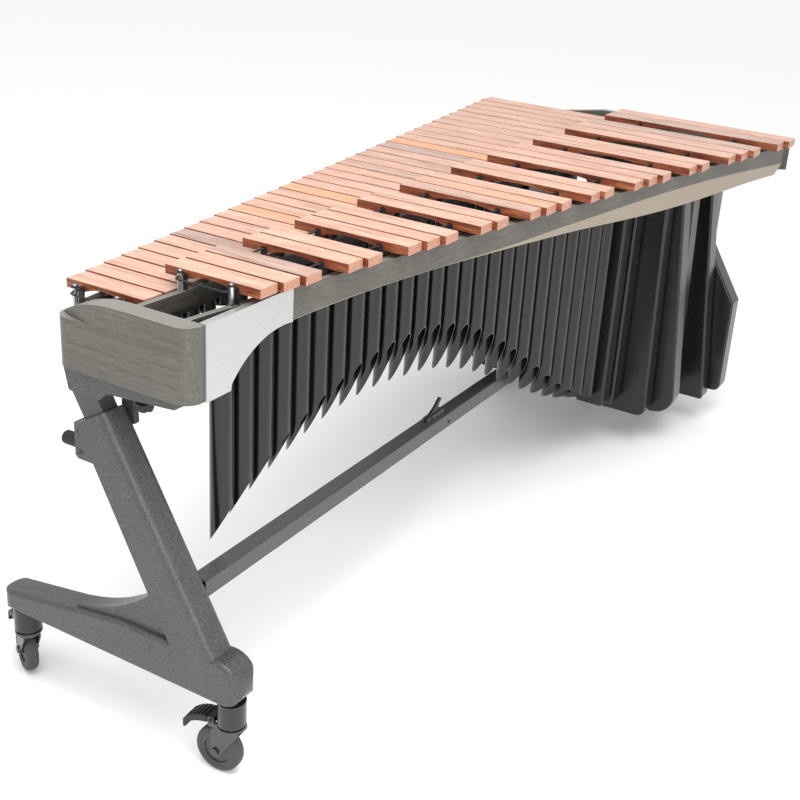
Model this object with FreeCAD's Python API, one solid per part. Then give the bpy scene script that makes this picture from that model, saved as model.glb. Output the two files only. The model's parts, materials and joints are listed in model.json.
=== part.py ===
import FreeCAD, Part
import math
import os

# Concert marimba with five octaves of rosewood bars on a height-adjustable cast frame.
# Drawn in bed coordinates: x from the treble end of the bar bed towards the bass,
# y across the bed (player side positive), z up; the floor lies FLOOR_Z above the datum.
# save() puts the origin on the floor under the middle of the instrument.

# ---- driving dimensions, millimetres
BED_CENTRE_X = 1173.7
BED_CENTRE_Y = -31.5
FLOOR_Z = 6.5
NATURAL_TOP = 950.0
ACCIDENTAL_RISE = 44.0
OCTAVE_PITCH = (56.5, 59.5, 62.2, 69.5, 76.5)
LOWEST_PITCH = 78.0
NATURALS_PER_OCTAVE = 7
BAR_GAP = 6.0
BAR_THICK_TREBLE = 19.0
BAR_THICK_BASS = 23.0
BAR_EDGE_ROUND = 1.6
NODE_RATIO = 0.224
ACCIDENTAL_STEPS = (0, 2, 3, 4, 6)
BAR_OVERLAP = 25.0

CORD_DIAMETER = 4.0
CORD_HOLE = 8.0
POST_THICK = 3.6
POST_WIDTH = 13.0
POST_SHOULDER = 4.0
POST_SLOT = 4.8
END_POST_STEP = {"natural": 18.0, "accidental": 11.0}
END_POST_RADIUS = 5.5
END_POST_ABOVE_CORD = {"treble": 8.0, "bass": 3.0}
CORD_TAIL = 6.5
CORD_BEND = 9.5

RAIL_WIDTH = {"natural": 24.0, "accidental": 14.0}
RAIL_HEIGHT = 34.0
NATURAL_RAIL_TOP = 911.0
ACCIDENTAL_RAIL_TOP = 954.0

BLOCK_OUT = 87.0
BASS_BLOCK_OUT = 73.0
BLOCK_LOW_IN = 16.0
BLOCK_HIGH_IN = 45.0
BLOCK_BOTTOM = 814.0
BLOCK_LOW_TOP = 914.0
BLOCK_HIGH_TOP = 960.0
CORNER_RADIUS = 34.0
BASS_CORNER_LENGTH = 70.0
PLATE_THICK = 4.0

FASCIA_TOP = 960.0
FASCIA_START = (207.0, -167.0)
FASCIA_END = (2350.0, -552.0)
FASCIA_SPLIT = 1074.0

TUBE_RADIUS_RATIO = 0.40
TUBE_WALL = 1.6
STOPPER_THICK = 3.0
SPEED_OF_SOUND = 343000.0
SEMITONE = 1.0595
TUBE_TOP = 905.0
FIRST_TUBE = 2
FIRST_BOX = 28
LAST_POSITION = 35
BOX_WALL = 2.0
BOX_ROUND = 7.0
LONGEST_TUBE = 700.0
NATURAL_BOX_HALF = 100.0
NATURAL_BOX_FLOOR = 98.0
CASTER_CLEAR_Z = 186.0

LEAN = 30.0
LEG_X = 36.0
POST_HALF = 33.0
POST_FOOT_Z = 290.0
POST_TOP_Z = 733.0
POST_TOP_WIDTH = 80.0
POST_BASE_WIDTH = 97.0
FOOT_BOTTOM = 186.0
FOOT_HALF = 33.0
FOOT_REAR_Y = 375.0
FOOT_NOSE_Y = -262.0
NOSE_RADIUS = 45.0
NOSE_PLAN_RADIUS = 29.0
SEAM_GAP = 0.5

SLEEVE_WIDTH = 56.0
SLEEVE_HALF = 19.0
SLIDE_CLEARANCE = 0.4
FRAME_SCREW = 5.0
FRAME_KNOB_Y = -16.0

CROSSBAR_Y = -110.0
CROSSBAR_Z = 383.0
CROSSBAR_SIZE = 40.0
CROSSBAR_WALL = 2.5

WHEEL_RADIUS = 51.5
WHEEL_WIDTH = 27.0
CASTER_TRAIL = 27.5
STEM_FRONT_Y = -221.0
STEM_REAR_Y = 335.0
HOUSING_BOTTOM = 130.0

V = FreeCAD.Vector
X_AXIS = V(1, 0, 0)
Y_AXIS = V(0, 1, 0)
Z_AXIS = V(0, 0, 1)


# ---- bar bed layout
def bar_starts():
    """Return the treble edge of each natural bar, and the end of the bed."""
    starts = [0.0]
    for pitch in OCTAVE_PITCH:
        for _ in range(NATURALS_PER_OCTAVE):
            starts.append(starts[-1] + pitch)
    starts.append(starts[-1] + LOWEST_PITCH)
    return starts


STARTS = bar_starts()
BED_LENGTH = STARTS[-1]
NATURAL_COUNT = len(STARTS) - 1


def pitch_at(index):
    octave = min(index // NATURALS_PER_OCTAVE, len(OCTAVE_PITCH))
    return (OCTAVE_PITCH + (LOWEST_PITCH,))[octave]


def boundary_pitch(index):
    return (pitch_at(index - 1) + pitch_at(min(index, NATURAL_COUNT - 1))) / 2.0


def natural_outer(x):
    u = x / BED_LENGTH
    return 205.0 + 318.0 * u + 9.0 * u * u


def accidental_inner(x):
    return 38.0 - 35.0 * x / BED_LENGTH


def accidental_outer(x):
    u = x / BED_LENGTH
    return -168.0 - 392.0 * u - 40.0 * u * u


def natural_inner(x):
    return accidental_inner(x) - BAR_OVERLAP


def accidental_middle(x):
    return (accidental_inner(x) + accidental_outer(x)) / 2.0


def natural_middle(x):
    return (natural_inner(x) + natural_outer(x)) / 2.0


def node_line(x, near_edge, far_edge):
    """Place of the bar's still point, which carries the cord."""
    return near_edge(x) + NODE_RATIO * (far_edge(x) - near_edge(x))


CORD_LINES = {
    "natural": ((natural_outer, natural_inner), (natural_inner, natural_outer)),
    "accidental": ((accidental_outer, accidental_inner), (accidental_inner, accidental_outer)),
}


def bar_thickness(x):
    return BAR_THICK_TREBLE + (BAR_THICK_BASS - BAR_THICK_TREBLE) * x / BED_LENGTH


def cord_height(kind):
    top = NATURAL_TOP if kind == "natural" else NATURAL_TOP + ACCIDENTAL_RISE
    return top - 11.0


# ---- general helpers
def save(name, shape):
    placed = shape.copy()
    placed.translate(V(-BED_CENTRE_X, -BED_CENTRE_Y, -FLOOR_Z))
    placed.exportStep("parts/" + name + ".step")


def box(x0, x1, y0, y1, z0, z1):
    return Part.makeBox(x1 - x0, y1 - y0, z1 - z0, V(x0, y0, z0))


def mirrored(shape):
    """Copy of a treble-end piece for the bass end of the bed."""
    return shape.mirror(V(BED_LENGTH / 2.0, 0, 0), X_AXIS)


def outline_yz(points, x):
    """Closed wire in the y-z plane; a 4-item point is the end of an arc through its first pair."""
    edges = []
    last = V(x, points[-1][-2], points[-1][-1])
    for point in points:
        end = V(x, point[-2], point[-1])
        if len(point) == 4:
            edges.append(Part.Arc(last, V(x, point[0], point[1]), end).toShape())
        else:
            edges.append(Part.makeLine(last, end))
        last = end
    return Part.Wire(edges)


def profile_yz(points, x0, x1):
    """Solid from an outline in the y-z plane, between two places along the bed."""
    return Part.Face(outline_yz(points, x0)).extrude(V(x1 - x0, 0, 0))


def profile_xy(points, z0, z1):
    """Solid from an outline in plan; a 4-item point is the end of an arc through its first pair."""
    edges = []
    last = V(points[-1][-2], points[-1][-1], z0)
    for point in points:
        end = V(point[-2], point[-1], z0)
        if len(point) == 4:
            edges.append(Part.Arc(last, V(point[0], point[1], z0), end).toShape())
        else:
            edges.append(Part.makeLine(last, end))
        last = end
    return Part.Face(Part.Wire(edges)).extrude(V(0, 0, z1 - z0))


def rounded(shape, radius, keep):
    """Fillet the edges of a shape that the test function keeps."""
    edges = [edge for edge in shape.Edges if keep(edge)]
    return shape.makeFillet(radius, edges)


def runs_along(axis):
    def test(edge):
        if not isinstance(edge.Curve, Part.Line):
            return False
        return abs(abs(edge.Curve.Direction.dot(axis)) - 1.0) < 1e-6
    return test


# ---- bars
def bar(x_start, width, y_low, y_high, top, cord_kind):
    middle = x_start + width / 2.0
    thick = bar_thickness(middle)
    length = y_high - y_low
    blank = box(x_start, x_start + width, y_low, y_high, top - thick, top)
    blank = rounded(blank, BAR_EDGE_ROUND, lambda edge: edge.BoundBox.ZMin > top - 0.1)
    arch_depth = thick * (0.55 + 0.12 * middle / BED_LENGTH)
    chord = length * 0.52
    radius = (chord * chord / 4.0 + arch_depth * arch_depth) / (2.0 * arch_depth)
    centre = V(x_start - 1, (y_low + y_high) / 2.0, top - thick + arch_depth - radius)
    blank = blank.cut(Part.makeCylinder(radius, width + 2, centre, X_AXIS))
    for near, far in CORD_LINES[cord_kind]:
        y_here = node_line(middle, near, far)
        slope = (node_line(middle + 1, near, far) - node_line(middle - 1, near, far)) / 2.0
        along = V(1, slope, 0).normalize()
        start = V(middle, y_here, cord_height(cord_kind)) - along * width
        blank = blank.cut(Part.makeCylinder(CORD_HOLE / 2.0, 2 * width, start, along))
    return blank


def natural_bars(octave):
    first = octave * NATURALS_PER_OCTAVE
    last = first + NATURALS_PER_OCTAVE
    if octave == len(OCTAVE_PITCH) - 1:
        last += 1
    bars = []
    for index in range(first, last):
        width = pitch_at(index) - BAR_GAP
        x = STARTS[index]
        bars.append(bar(x, width, natural_inner(x), natural_outer(x), NATURAL_TOP, "natural"))
    return Part.makeCompound(bars)


def accidental_indices(octave):
    first = octave * NATURALS_PER_OCTAVE
    wanted = range(first + 1, first + NATURALS_PER_OCTAVE + 1)
    return [index for index in wanted if index % NATURALS_PER_OCTAVE in ACCIDENTAL_STEPS]


def accidental_bars(octave):
    bars = []
    for index in accidental_indices(octave):
        width = boundary_pitch(index) - BAR_GAP
        x = STARTS[index] - BAR_GAP / 2.0 - width / 2.0
        top = NATURAL_TOP + ACCIDENTAL_RISE
        middle = x + width / 2.0
        bars.append(bar(x, width, accidental_outer(middle), accidental_inner(middle), top,
                        "accidental"))
    return Part.makeCompound(bars)


# ---- cords and their posts
def post_stations(kind):
    """Middle of each gap beside a bar, in x."""
    if kind == "natural":
        inner = [start - BAR_GAP / 2.0 for start in STARTS[1:-1]]
        return [-BAR_GAP] + inner + [BED_LENGTH]
    stations = set()
    for octave in range(len(OCTAVE_PITCH)):
        for index in accidental_indices(octave):
            half = boundary_pitch(index) / 2.0
            centre = STARTS[index] - BAR_GAP / 2.0
            stations.add(round(centre - half, 1))
            stations.add(round(centre + half, 1))
    merged = []
    for station in sorted(stations):
        if merged and station - merged[-1] < 2 * BAR_GAP:
            merged[-1] = (merged[-1] + station) / 2.0
        else:
            merged.append(station)
    return merged


def cord_posts(kind):
    """Forked plastic posts, one in each gap between bars, with a slot that holds the cord."""
    rail_top = NATURAL_RAIL_TOP if kind == "natural" else ACCIDENTAL_RAIL_TOP
    seat = cord_height(kind) - POST_SLOT / 2.0
    top = cord_height(kind) + CORD_DIAMETER
    half = POST_WIDTH / 2.0
    slot = POST_SLOT / 2.0
    cheek = (half + slot) / 2.0
    posts = []
    for near, far in CORD_LINES[kind]:
        for x in post_stations(kind):
            y = node_line(x, near, far)
            outline = [
                (y - half, rail_top),
                (y - half, top - POST_SHOULDER),
                (y - cheek - 0.7, top - 0.8, y - slot, top),
                (y - slot, seat),
                (y + slot, seat),
                (y + slot, top),
                (y + cheek + 0.7, top - 0.8, y + half, top - POST_SHOULDER),
                (y + half, rail_top),
            ]
            posts.append(profile_yz(outline, x - POST_THICK / 2.0, x + POST_THICK / 2.0))
    return Part.makeCompound(posts)


def end_stations(kind):
    """Middle of the two end posts of a row, in x."""
    stations = post_stations(kind)
    return stations[0] - END_POST_STEP[kind], stations[-1] + END_POST_STEP[kind]


def cord_run(kind, near, far):
    """One line of cord: a gentle arc through its posts, and its direction at the treble end."""
    x_first, x_last = end_stations(kind)
    x_start = x_first - CORD_TAIL
    x_end = x_last + CORD_TAIL
    height = cord_height(kind)
    places = (x_start, (x_start + x_end) / 2.0, x_end)
    points = [V(x, node_line(x, near, far), height) for x in places]
    arc = Part.Arc(*points)
    tangent = V(*arc.tangent(arc.FirstParameter)[0])
    if tangent.x > 0:
        tangent = tangent * -1.0
    return points, arc, tangent


def cord(kind):
    """Suspension cord of one row: two long runs joined by a bend, a cross run and a bend."""
    (outer_line, inner_line) = CORD_LINES[kind]
    outer_points, outer_arc, outer_way = cord_run(kind, *outer_line)
    inner_points, inner_arc, inner_way = cord_run(kind, *inner_line)
    start = outer_points[0]
    finish = inner_points[0]
    side = 1.0 if finish.y > start.y else -1.0
    turn_out = V(-side * outer_way.y, side * outer_way.x, 0) * -1.0
    turn_in = V(-side * inner_way.y, side * inner_way.x, 0)
    centre_out = start + turn_out * CORD_BEND
    centre_in = finish + turn_in * CORD_BEND
    across = (centre_in - centre_out).normalize()
    away = V(-abs(across.y), across.x * side, 0)
    edges = [Part.Arc(outer_points[2], outer_points[1], start).toShape()]
    for centre, first, last in ((centre_out, start, centre_out + away * CORD_BEND),
                                (centre_in, centre_in + away * CORD_BEND, finish)):
        middle = ((first - centre) + (last - centre)).normalize() * CORD_BEND
        edges.append(Part.Arc(first, centre + middle, last).toShape())
    edges.insert(2, Part.makeLine(centre_out + away * CORD_BEND, centre_in + away * CORD_BEND))
    edges.append(Part.Arc(finish, inner_points[1], inner_points[2]).toShape())
    tangent = V(*outer_arc.tangent(outer_arc.LastParameter)[0])
    ring = Part.Wire([Part.Circle(outer_points[2], tangent, CORD_DIAMETER / 2.0).toShape()])
    return Part.Wire(edges).makePipeShell([ring], True, False)


def end_posts():
    """Turned metal posts at both ends of every cord line, each with a cross hole and a cap screw."""
    posts = []
    for kind, lines in CORD_LINES.items():
        height = cord_height(kind)
        foot = BLOCK_LOW_TOP + 0.2 if kind == "natural" else ACCIDENTAL_RAIL_TOP
        for near, far in lines:
            for end, x in zip(("treble", "bass"), end_stations(kind)):
                centre = V(x, node_line(x, near, far), foot)
                tall = height + END_POST_ABOVE_CORD[end] - foot
                post = Part.makeCylinder(END_POST_RADIUS, tall, centre, Z_AXIS)
                slope = node_line(x + 1, near, far) - node_line(x, near, far)
                along = V(1, slope, 0).normalize()
                start = V(centre.x, centre.y, height) - along * 20.0
                hole = Part.makeCylinder(CORD_DIAMETER / 2.0 + 0.4, 40.0, start, along)
                posts.append(post.cut(hole))
    return Part.makeCompound(posts)


# ---- rails
def strip(points, width, z0, z1):
    """Upright strip of constant width that follows a plan line of (x, y) points."""
    left = [(x, y - width / 2.0) for x, y in points]
    right = [(x, y + width / 2.0) for x, y in reversed(points)]
    return profile_xy([(x, y) for x, y in left + right], z0, z1)


def post_rails(kind):
    top = NATURAL_RAIL_TOP if kind == "natural" else ACCIDENTAL_RAIL_TOP
    inset = BLOCK_LOW_IN if kind == "natural" else BLOCK_HIGH_IN
    ends = (-inset + 0.5, BED_LENGTH / 2.0, BED_LENGTH + inset - 0.5)
    rails = []
    for near, far in CORD_LINES[kind]:
        line = [(x, node_line(x, near, far)) for x in ends]
        rails.append(strip(line, RAIL_WIDTH[kind], top - RAIL_HEIGHT, top))
    return Part.makeCompound(rails)


def fascia_y(x):
    (x0, y0), (x1, y1) = FASCIA_START, FASCIA_END
    return y0 + (y1 - y0) * (x - x0) / (x1 - x0)


# station along the bed, crease and depth below the top, inward slant of the bevel, thickness
FASCIA_STATIONS = (
    (207.0, 66.0, 67.0, 0.4, 7.5),
    (500.0, 52.0, 53.0, 0.4, 18.0),
    (850.0, 52.0, 57.0, 1.5, 20.0),
    (FASCIA_SPLIT, 46.0, 66.0, 6.0, 20.0),
    (1460.0, 39.0, 90.0, 16.0, 22.0),
    (1750.0, 38.0, 100.0, 18.0, 24.0),
    (2050.0, 46.0, 98.0, 18.0, 24.0),
    (2330.0, 58.0, 100.0, 18.0, 24.0),
)


def fascia_section(station):
    x, crease, depth, slant, thick = station
    y = fascia_y(x)
    outline = ((0, 0), (0, -crease), (slant, -depth), (thick, -depth), (thick, 0))
    corners = [V(x, y + dy, FASCIA_TOP + dz) for dy, dz in outline]
    return Part.makePolygon(corners + corners[:1])


def audience_rail(part):
    stations = [s for s in FASCIA_STATIONS if (s[0] <= FASCIA_SPLIT) == (part == "treble")]
    if part == "bass":
        split = [s for s in FASCIA_STATIONS if s[0] == FASCIA_SPLIT][0]
        stations = [(split[0] + SEAM_GAP,) + split[1:]] + stations
    return Part.makeLoft([fascia_section(station) for station in stations], True, False)


def player_rail():
    """Plain board on the player's side, under the natural bars' outer post rail."""
    ends = (-BLOCK_LOW_IN + 0.5, BED_LENGTH / 2.0, BED_LENGTH + BLOCK_LOW_IN - 0.5)
    line = [(x, node_line(x, natural_outer, natural_inner) - 10.0) for x in ends]
    return strip(line, 20.0, BLOCK_BOTTOM + 14.0, NATURAL_RAIL_TOP - RAIL_HEIGHT - 0.3)


# ---- end blocks
def end_block(y_player, y_audience, y_ramp, reach, corner_x, corner_y):
    """Wooden end block with a low player side, a raised audience side and a scooped shoulder."""
    share = 1.0 - math.sqrt(0.5)
    p = CORNER_RADIUS
    q = p * share
    out = -reach
    low = profile_xy([
        (-BLOCK_LOW_IN, y_player),
        (out + p, y_player),
        (out + q, y_player - q, out, y_player - p),
        (out, y_audience + corner_y),
        (out + share * corner_x, y_audience + share * corner_y, out + corner_x, y_audience),
        (-BLOCK_HIGH_IN, y_audience),
        (-BLOCK_HIGH_IN, y_ramp),
        (-BLOCK_LOW_IN, y_ramp),
    ], BLOCK_BOTTOM, BLOCK_LOW_TOP)
    raised = profile_xy([
        (-BLOCK_HIGH_IN, y_player - 6.0),
        (out + 24.0, y_player - 6.0),
        (out + 7.0, (y_player + y_ramp) / 2.0 - 6.0, out, y_ramp - 60.0),
        (out, y_audience + corner_y),
        (out + share * corner_x, y_audience + share * corner_y, out + corner_x, y_audience),
        (-BLOCK_HIGH_IN, y_audience),
    ], BLOCK_LOW_TOP - 1.0, BLOCK_HIGH_TOP)
    shoulder = profile_yz([
        (y_player, BLOCK_LOW_TOP - 1.0),
        (y_audience - 1.0, BLOCK_LOW_TOP - 1.0),
        (y_audience - 1.0, BLOCK_HIGH_TOP),
        (y_ramp - 40.0, BLOCK_HIGH_TOP),
        (y_ramp + 30.0, BLOCK_HIGH_TOP - 12.0, y_player - 6.0, BLOCK_LOW_TOP - 1.0),
    ], out - 1.0, 0.0)
    return low.fuse(raised.common(shoulder)).removeSplitter()


def treble_block():
    return end_block(156.0, FASCIA_START[1] + 0.3, 52.0, BLOCK_OUT, CORNER_RADIUS,
                     CORNER_RADIUS)


def bass_block():
    """Bass block, with a rising underside towards the audience so the fascia hides it."""
    y_player = node_line(BED_LENGTH, natural_outer, natural_inner) + 34.0
    y_audience = fascia_y(BED_LENGTH)
    block = end_block(y_player, y_audience, 150.0, BASS_BLOCK_OUT,
                      BASS_BLOCK_OUT - BLOCK_HIGH_IN - 1.0, BASS_CORNER_LENGTH)
    under = profile_yz([
        (y_audience - 10.0, BLOCK_BOTTOM - 10.0),
        (y_audience - 10.0, BLOCK_BOTTOM + 58.0),
        (y_audience + 120.0, BLOCK_BOTTOM + 40.0),
        (y_audience + 300.0, BLOCK_BOTTOM - 10.0),
    ], -BLOCK_OUT - 20.0, 0.0)
    return mirrored(block.cut(under))


def corner_plate():
    """Folded aluminium plate over the treble audience corner, with its cut-away lower edge."""
    y = FASCIA_START[1]
    x0 = -BLOCK_OUT + CORNER_RADIUS + 6.0
    x1 = FASCIA_START[0]
    top = BLOCK_HIGH_TOP + PLATE_THICK / 2.0
    outline = [
        V(x0, y, top),
        V(x1, y, top),
        V(x1, y, BLOCK_HIGH_TOP - 68.0),
        V(24.0, y, BLOCK_HIGH_TOP - 134.0),
        V(21.0, y, BLOCK_BOTTOM - 1.0),
        V(x0, y, BLOCK_BOTTOM - 1.0),
    ]
    edges = [Part.makeLine(outline[0], outline[1]), Part.makeLine(outline[1], outline[2])]
    edges.append(Part.Arc(outline[2], V(86.0, y, BLOCK_HIGH_TOP - 87.0), outline[3]).toShape())
    for a, b in ((3, 4), (4, 5), (5, 0)):
        edges.append(Part.makeLine(outline[a], outline[b]))
    face = Part.Face(Part.Wire(edges)).extrude(V(0, -PLATE_THICK, 0))
    flange = box(x0, x1, y - PLATE_THICK, y + 11.0, BLOCK_HIGH_TOP + 0.2, top)
    return face.fuse(flange).removeSplitter()


# ---- resonators
def arch_height(x):
    """Height of the arch line above the floor: a parabola to the crest, then a cosine fall."""
    crest = 718.0
    if x < 700.0:
        return crest - 6.3e-4 * (700.0 - x) ** 2
    if x < 720.0:
        return crest
    return crest - 263.0 * (1.0 - math.cos(math.pi * (x - 720.0) / 1150.0))


def cut_drop(x):
    """How much lower a tube ends on the player side than on the audience side."""
    if x < 750.0:
        return 72.0 + 68.0 * (x - 100.0) / 650.0
    return 6.0 + 134.0 * math.cos(math.pi / 2.0 * min(1.0, (x - 750.0) / 920.0))


def tube(x, y, radius, top, z_audience, z_player, stop_z):
    """Round resonator tube with a slanting lower end and a stopper disc inside."""
    outer = Part.makeCylinder(radius, top - 150.0, V(x, y, 150.0), Z_AXIS)
    bore = Part.makeCylinder(radius - TUBE_WALL, top, V(x, y, 100.0), Z_AXIS)
    pipe = outer.cut(bore)
    reach = radius + 5.0
    slope = (z_player - z_audience) / (2.0 * radius)
    middle = (z_player + z_audience) / 2.0
    lean = (arch_height(x + 5.0) - arch_height(x - 5.0)) / 10.0
    corners = []
    for dx, dy in ((-reach, -reach), (reach, -reach), (reach, reach), (-reach, reach)):
        corners.append(V(x + dx, y + dy, middle + slope * dy + lean * dx))
    wedge = Part.Face(Part.makePolygon(corners + corners[:1])).extrude(V(0, 0, -800))
    stopper = Part.makeCylinder(radius - 0.5 * TUBE_WALL, STOPPER_THICK, V(x, y, stop_z), Z_AXIS)
    return pipe.cut(wedge).fuse(stopper)


def accidental_tubes():
    """Tubes of the black-note row; the stopper sits at a quarter wave or just inside the end."""
    tubes = []
    for index in range(FIRST_TUBE, FIRST_BOX):
        x = STARTS[index] - BAR_GAP / 2.0
        radius = TUBE_RADIUS_RATIO * boundary_pitch(index)
        z_audience = arch_height(x)
        quarter_wave = TUBE_TOP - SPEED_OF_SOUND / (4.0 * SEMITONE * tone_frequency(index))
        stop_z = max(quarter_wave, z_audience + 16.0)
        tubes.append(tube(x, accidental_middle(x), radius, TUBE_TOP, z_audience,
                          z_audience - cut_drop(x), min(stop_z, TUBE_TOP - 20.0)))
    return Part.makeCompound(tubes)


def resonator_box(x, half_width, outline, front=None):
    """Hollow folded-plate box, open at the top, with its outline in the y-z plane.

    The upright edges on the audience side of the place called front are rounded.
    """
    solid = profile_yz(outline, x - half_width, x + half_width)
    if front is not None:
        solid = rounded(solid, BOX_ROUND, lambda edge: not runs_along(X_AXIS)(edge)
                        and edge.BoundBox.ZLength > 60.0 and edge.BoundBox.YMax < front)
    inner = Part.Face(outline_yz(outline, x).makeOffset2D(-BOX_WALL))
    inner.translate(V(BOX_WALL + 1.0 - half_width, 0, 0))
    cavity = inner.extrude(V(2.0 * (half_width - BOX_WALL - 1.0), 0, 0))
    rim = cavity.BoundBox.ZMax
    mouth = cavity.common(box(x - 99.0, x + 99.0, -700.0, 700.0, rim - 1.0, rim + 9.0))
    mouth.translate(V(0, 0, BOX_WALL + 0.5))
    return solid.cut([cavity, mouth])


def floor_corner(y, z, radius, side):
    """Two outline points that round the lower corner of a box; side is the way the wall faces."""
    k = radius * (1.0 - math.sqrt(0.5))
    return [(y, z + radius), (y - side * k, z + k, y - side * radius, z)]


# front face at the top and at the bottom, bottom height and corner radius for each bass position
BOX_FRONTS = {
    28: (-277.0, -277.0, 190.0, 12.0),
    29: (-284.0, -284.0, 172.0, 12.0),
    30: (-346.0, -368.0, 123.0, 30.0),
    31: (-369.0, -432.0, 117.0, 66.0),
    32: (-377.0, -402.0, 130.0, 40.0),
    33: (-352.0, -376.0, 124.0, 20.0),
    34: (-385.0, -462.0, 105.0, 8.0),
    35: (-385.0, -496.0, 114.0, 24.0),
}
BOX_TOP = 880.0
BANK_RAIL_HEIGHT = 22.0


def accidental_boxes():
    """Folded bass boxes of the black-note row; the last one is cut away over the front caster."""
    boxes = []
    for index, (front_top, front_low, bottom, radius) in BOX_FRONTS.items():
        x = STARTS[index] - BAR_GAP / 2.0
        back = accidental_middle(x) + 44.0
        corner = floor_corner(front_low, bottom, radius, -1)
        outline = [(back, BOX_TOP), (front_top, BOX_TOP)]
        if index == LAST_POSITION:
            outline += [(front_top, 612.0), (front_low, 434.0)] + corner
            outline += [(back - 124.0, bottom), (back, bottom + 74.0)]
        else:
            outline += corner + [(back, bottom)]
        half = boundary_pitch(index) / 2.0 - 4.0
        boxes.append(resonator_box(x, half, outline, front_top + 90.0))
    return Part.makeCompound(boxes)


def tone_frequency(index):
    """Pitch of a natural bar, counted from the highest C down the white-note scale."""
    semitones = (0, 1, 3, 5, 7, 8, 10)
    octave, step = divmod(index, NATURALS_PER_OCTAVE)
    return 2093.0 * 2.0 ** (-(12 * octave + semitones[step]) / 12.0)


def natural_resonator(index):
    """Quarter-wave tube under one natural bar, or a box where a straight tube would be too long."""
    x = (STARTS[index] + STARTS[index + 1] - BAR_GAP) / 2.0
    radius = TUBE_RADIUS_RATIO * pitch_at(index)
    length = SPEED_OF_SOUND / (4.0 * tone_frequency(index)) - 0.6 * radius
    y = natural_middle(x)
    top = NATURAL_RAIL_TOP - RAIL_HEIGHT - 2.0
    if length < LONGEST_TUBE:
        length = max(length, 60.0)
        shell = Part.makeCylinder(radius, length, V(x, y, top - length), Z_AXIS)
        bore = Part.makeCylinder(radius - TUBE_WALL, length, V(x, y, top - length + 3.0), Z_AXIS)
        return "tube", shell.cut(bore)
    half = pitch_at(index) / 2.0 - 4.0
    bottom = max(NATURAL_BOX_FLOOR, top - 0.93 * length)
    if index == LAST_POSITION:
        bottom = CASTER_CLEAR_Z
    near = y - NATURAL_BOX_HALF
    far = y + NATURAL_BOX_HALF
    outline = [(far, top), (near, top)] + floor_corner(near, bottom, 60.0, -1)
    outline += [(far - 60.0, bottom), (far - 17.6, bottom + 17.6, far, bottom + 60.0)]
    return "box", resonator_box(x, half, outline)


def natural_resonators(kind):
    made = [natural_resonator(index) for index in range(NATURAL_COUNT)]
    return Part.makeCompound([shape for made_kind, shape in made if made_kind == kind])


def bank_rails(middle, first_x, last_tube, box_offset, z_low):
    """Flat rails on both sides of one bank: they step out to the boxes at the bass end."""
    stops = [first_x] + [STARTS[n * NATURALS_PER_OCTAVE] for n in range(1, 4)]
    reach = [TUBE_RADIUS_RATIO * pitch for pitch in OCTAVE_PITCH[:4]]
    stops.append(STARTS[last_tube] + 30.0)
    reach.append(TUBE_RADIUS_RATIO * pitch_at(last_tube))
    rails = []
    for side in (-1, 1):
        line = [(x, middle(x) + side * (r + 2.2)) for x, r in zip(stops, reach)]
        rails.append(strip(line, 3.0, z_low, z_low + BANK_RAIL_HEIGHT))
    back = [(x, middle(x) + box_offset) for x in (stops[-1] + 6.0, BED_LENGTH - 6.0)]
    rails.append(strip(back, 3.0, z_low, z_low + BANK_RAIL_HEIGHT))
    return rails


def resonator_rails():
    first = STARTS[FIRST_TUBE] - 60.0
    accidental = bank_rails(accidental_middle, first, FIRST_BOX - 1, 53.0, TUBE_TOP - 32.0)
    natural = bank_rails(natural_middle, 2.0, FIRST_BOX + 1, 108.0, TUBE_TOP - 60.0)
    return Part.makeCompound(accidental + natural)


# ---- height-adjustable leg
def lean_point(base_y, base_z, along, across):
    """Point beside the leg axis: along up the lean, across towards the player."""
    a = math.radians(LEAN)
    return (base_y + along * math.sin(a) + across * math.cos(a),
            base_z + along * math.cos(a) - across * math.sin(a))


POST_BASE_Y = -154.0 - (365.0 - POST_FOOT_Z) * math.tan(math.radians(LEAN))
POST_LENGTH = (POST_TOP_Z - POST_FOOT_Z) / math.cos(math.radians(LEAN))


def leg_point(along, across):
    return lean_point(POST_BASE_Y, POST_FOOT_Z, along, across)


def foot_outline():
    n = NOSE_RADIUS
    k = n * math.sqrt(0.5)
    nose = FOOT_NOSE_Y + n
    top_front = FOOT_BOTTOM + 2 * n + 6.0
    return [
        (FOOT_REAR_Y, FOOT_BOTTOM),
        (FOOT_REAR_Y, FOOT_BOTTOM + 41.0),
        (42.0, FOOT_BOTTOM + 93.0),
        (nose + 30.0, top_front),
        (nose - k, FOOT_BOTTOM + n + k + 2.0, FOOT_NOSE_Y, FOOT_BOTTOM + n),
        (nose - k, FOOT_BOTTOM + n - k, nose, FOOT_BOTTOM),
    ]


def post_edge(along):
    """Width of the post, audience edge to player edge, at a place up the lean."""
    widening = (POST_BASE_WIDTH - POST_TOP_WIDTH) * (POST_LENGTH - along) / POST_LENGTH
    return POST_TOP_WIDTH + widening


def post_outline():
    root = -30.0
    return [leg_point(root, 0.0), leg_point(POST_LENGTH, 0.0),
            leg_point(POST_LENGTH, POST_TOP_WIDTH), leg_point(root, post_edge(root))]


def web_solid():
    """Concave web that blends the post into the foot on the player side."""
    outline = [
        (165.0, FOOT_BOTTOM + 55.0),
        (165.0, FOOT_BOTTOM + 80.0),
        (62.0, 300.0, -42.0, 372.0),
        (-95.0, 372.0),
        (-60.0, FOOT_BOTTOM + 55.0),
    ]
    return profile_yz(outline, -LEG_X - 20.0, -LEG_X + 20.0)


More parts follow.
